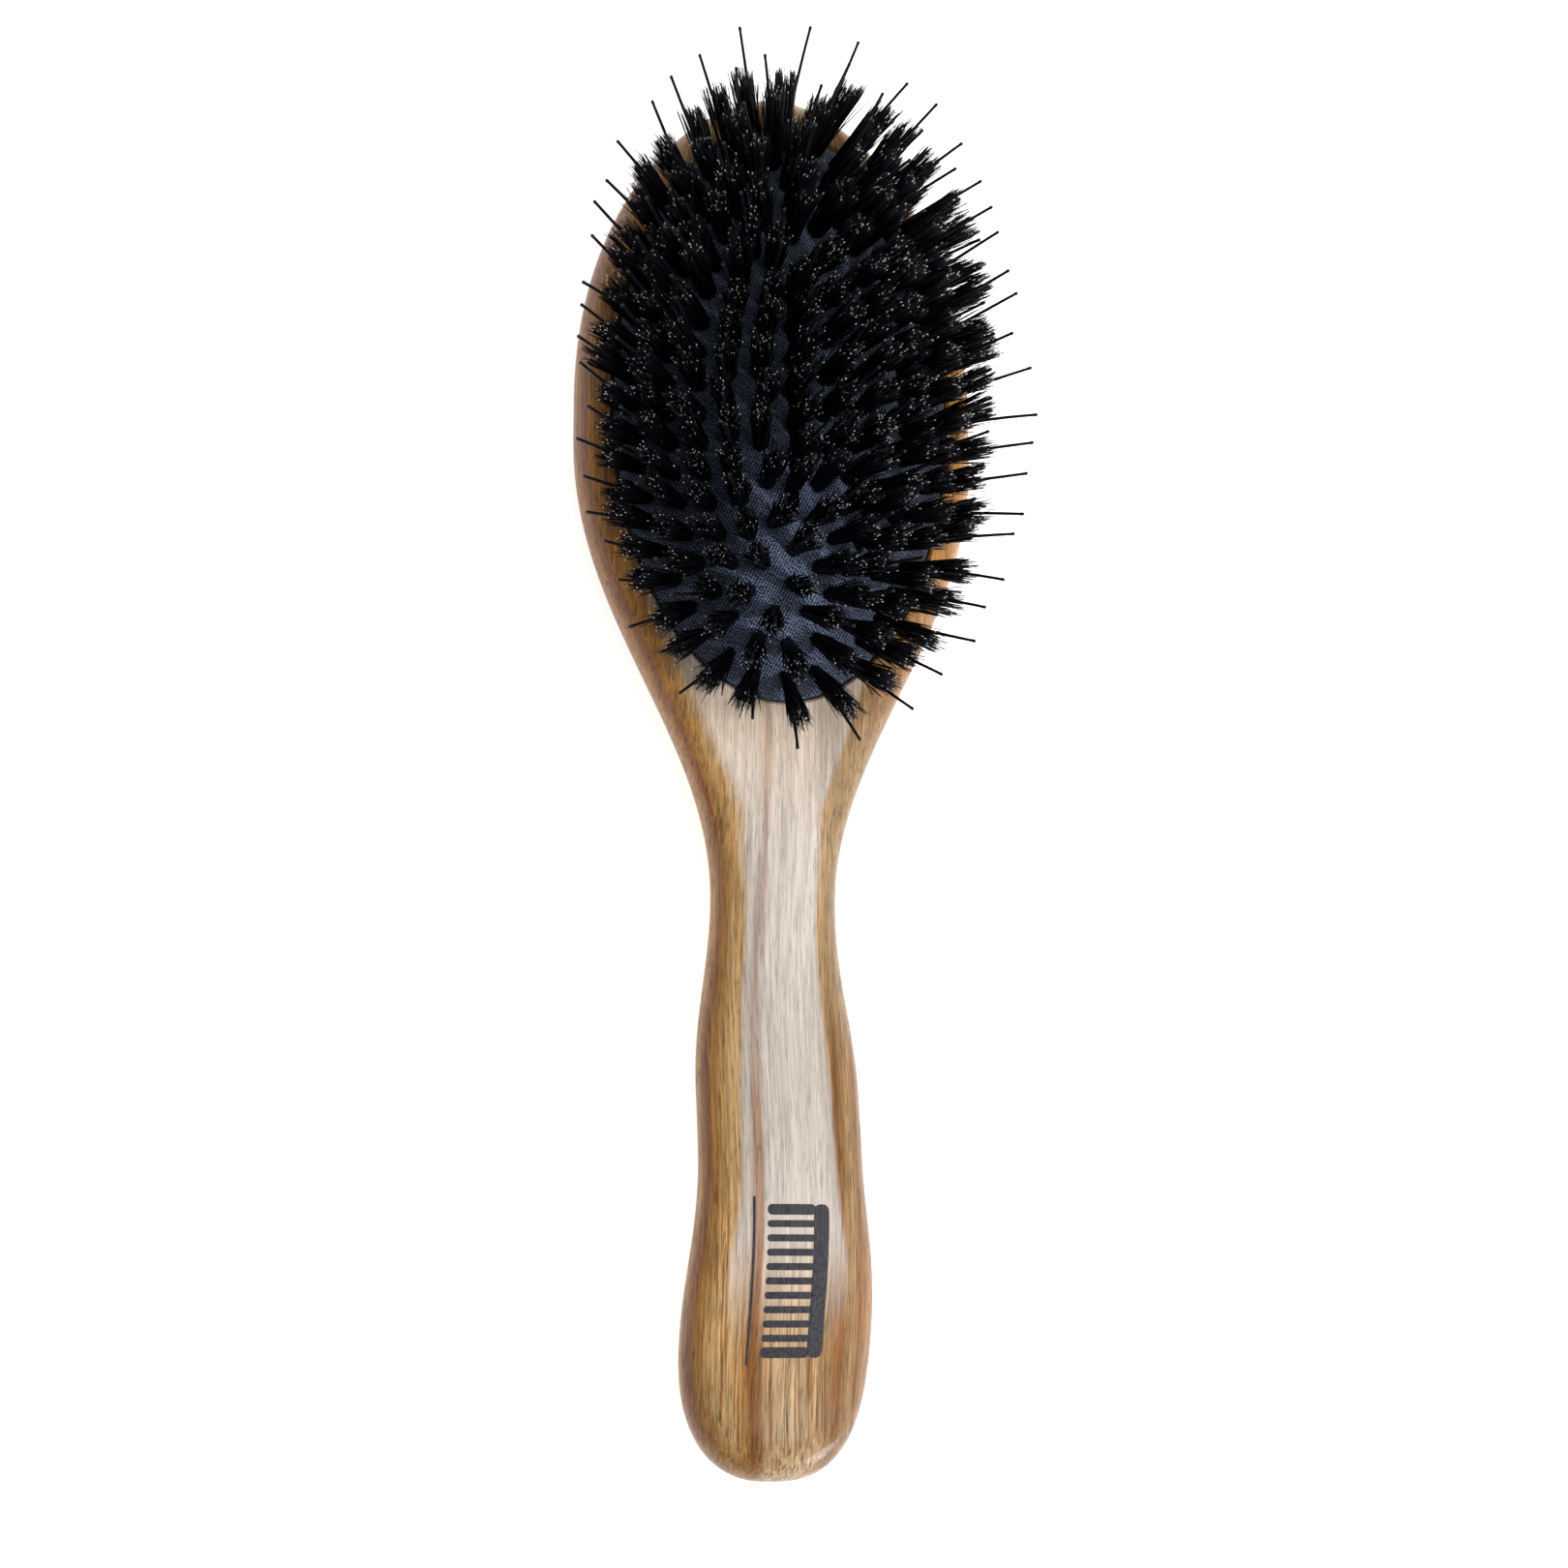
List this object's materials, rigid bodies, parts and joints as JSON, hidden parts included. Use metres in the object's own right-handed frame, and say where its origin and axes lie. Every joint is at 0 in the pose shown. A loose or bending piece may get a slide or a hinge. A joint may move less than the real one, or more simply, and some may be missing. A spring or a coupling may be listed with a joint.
{
  "type": "cushion hairbrush",
  "caption": "Oval cushion hairbrush with a one-piece striped wooden body, a puffed rubberised-cloth cushion and rings of boar tufts, each with a long nylon pin.",
  "frame": {"origin": "centre of the rest land on the back of the head, in the plane the brush lies on; the head's widest line is just below it", "axes": "+Z from the back through the head towards the bristles, +Y along the brush towards the crown of the head with the handle towards -Y, +X to the right when the bristles are seen with the handle pointing down"},
  "size_m": [0.073, 0.2273, 0.0435],
  "materials": {
    "wood": "clear satin lacquer over striped grain",
    "cushion_cloth": "woven cloth bonded on rubber",
    "ring_wire": "drawn spring steel",
    "boar_bristle": "natural dark bristle",
    "nylon_pin": "smooth black nylon",
    "collar_plastic": "moulded plastic"
  },
  "bodies": {
    "brush_body": {"wood_body": "wood", "cushion": "cushion_cloth", "retaining_ring": "ring_wire"},
    "centre_row": {"tufts_centre": "boar_bristle", "pins_centre": "nylon_pin", "collars_centre": "collar_plastic"},
    "outer_ring": {"tufts_outer": "boar_bristle", "pins_outer": "nylon_pin", "collars_outer": "collar_plastic"},
    "second_ring": {"tufts_second": "boar_bristle", "pins_second": "nylon_pin", "collars_second": "collar_plastic"},
    "third_ring": {"tufts_third": "boar_bristle", "pins_third": "nylon_pin", "collars_third": "collar_plastic"},
    "fourth_ring": {"tufts_fourth": "boar_bristle", "pins_fourth": "nylon_pin", "collars_fourth": "collar_plastic"},
    "inner_ring": {"tufts_inner": "boar_bristle", "pins_inner": "nylon_pin", "collars_inner": "collar_plastic"}
  },
  "joints": [
    {"name": "centre_press", "type": "slide", "parent": "brush_body", "child": "centre_row", "axis": [0, 0, -1], "range_m": [0, 0.0025], "stiffness_N_per_m": 120, "deforming": ["cushion"]},
    {"name": "outer_press", "type": "slide", "parent": "brush_body", "child": "outer_ring", "axis": [0, 0, -1], "range_m": [0, 0.0006725], "stiffness_N_per_m": 420},
    {"name": "second_press", "type": "slide", "parent": "brush_body", "child": "second_ring", "axis": [0, 0, -1], "range_m": [0, 0.00135], "stiffness_N_per_m": 360},
    {"name": "third_press", "type": "slide", "parent": "brush_body", "child": "third_ring", "axis": [0, 0, -1], "range_m": [0, 0.00188], "stiffness_N_per_m": 300},
    {"name": "fourth_press", "type": "slide", "parent": "brush_body", "child": "fourth_ring", "axis": [0, 0, -1], "range_m": [0, 0.00225], "stiffness_N_per_m": 240},
    {"name": "inner_press", "type": "slide", "parent": "brush_body", "child": "inner_ring", "axis": [0, 0, -1], "range_m": [0, 0.00245], "stiffness_N_per_m": 180}
  ],
  "couplings": [
    {"joint": "outer_press", "follows": "centre_press", "ratio": 0.2688},
    {"joint": "second_press", "follows": "centre_press", "ratio": 0.5411},
    {"joint": "third_press", "follows": "centre_press", "ratio": 0.7519},
    {"joint": "fourth_press", "follows": "centre_press", "ratio": 0.8978},
    {"joint": "inner_press", "follows": "centre_press", "ratio": 0.9783}
  ]
}
